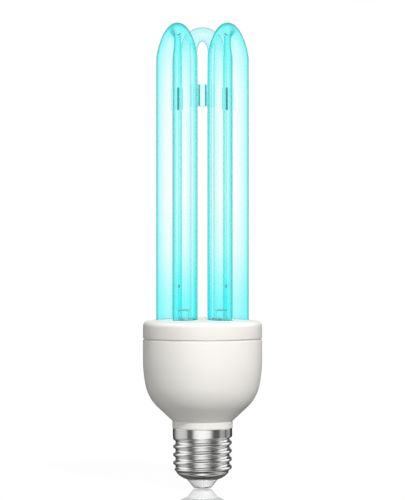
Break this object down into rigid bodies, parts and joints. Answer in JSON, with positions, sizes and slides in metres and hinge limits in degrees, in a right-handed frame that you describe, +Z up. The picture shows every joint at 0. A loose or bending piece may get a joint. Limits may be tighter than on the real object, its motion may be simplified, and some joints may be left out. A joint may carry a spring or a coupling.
{
  "type": "germicidal uv lamp",
  "caption": "Ultraviolet lamp of clear U-bent glass tubes on a round white ballast housing, with a metal screw cap that fits a lamp holder.",
  "frame": {"origin": "middle of the centre contact's lower face", "axes": "+Z up the lamp's axis from the contact to the glass bends, +X to the right and +Y to the rear as the picture sees it"},
  "size_m": [0.0532, 0.0532, 0.2063],
  "materials": {
    "clear_glass": "clear drawn glass with an aqua glow",
    "silicone": "translucent silicone",
    "white_plastic": "satin moulded, warm white",
    "nickel_plate": "rolled and nickel plated",
    "tip_ceramic": "satin, pale grey",
    "contact_metal": "pressed, tinned",
    "tungsten": "fine coil",
    "lead_wire": "drawn wire",
    "amalgam": "dull grey drop",
    "cement": "matt white",
    "board_laminate": "phenolic paper",
    "ferrite": "matt dark grey",
    "copper_winding": "enamelled wire",
    "capacitor_sleeve": "shrunk sleeve",
    "film_dip": "dipped resin",
    "black_moulding": "moulded epoxy",
    "resistor_body": "lacquered",
    "live_insulation": "extruded",
    "neutral_insulation": "extruded"
  },
  "bodies": {
    "root": {"centre_contact": "contact_metal", "insulator": "tip_ceramic", "screw_shell": "nickel_plate", "base_housing": "white_plastic", "tube_cover": "white_plastic", "tube_cement": "cement", "discharge_tube": "clear_glass", "spacer_left": "silicone", "spacer_right": "silicone", "spacer_rear": "silicone", "filament_left": "tungsten", "filament_right": "tungsten", "lead_wires_left": "lead_wire", "lead_wires_right": "lead_wire", "amalgam_pellets": "amalgam", "circuit_board": "board_laminate", "choke_core": "ferrite", "choke_winding": "copper_winding", "drive_ring": "ferrite", "bulk_capacitor": "capacitor_sleeve", "film_capacitors": "film_dip", "transistors": "black_moulding", "rectifier_diodes": "black_moulding", "fuse_resistor": "resistor_body", "live_lead": "live_insulation", "neutral_lead": "neutral_insulation"}
  },
  "joints": []
}
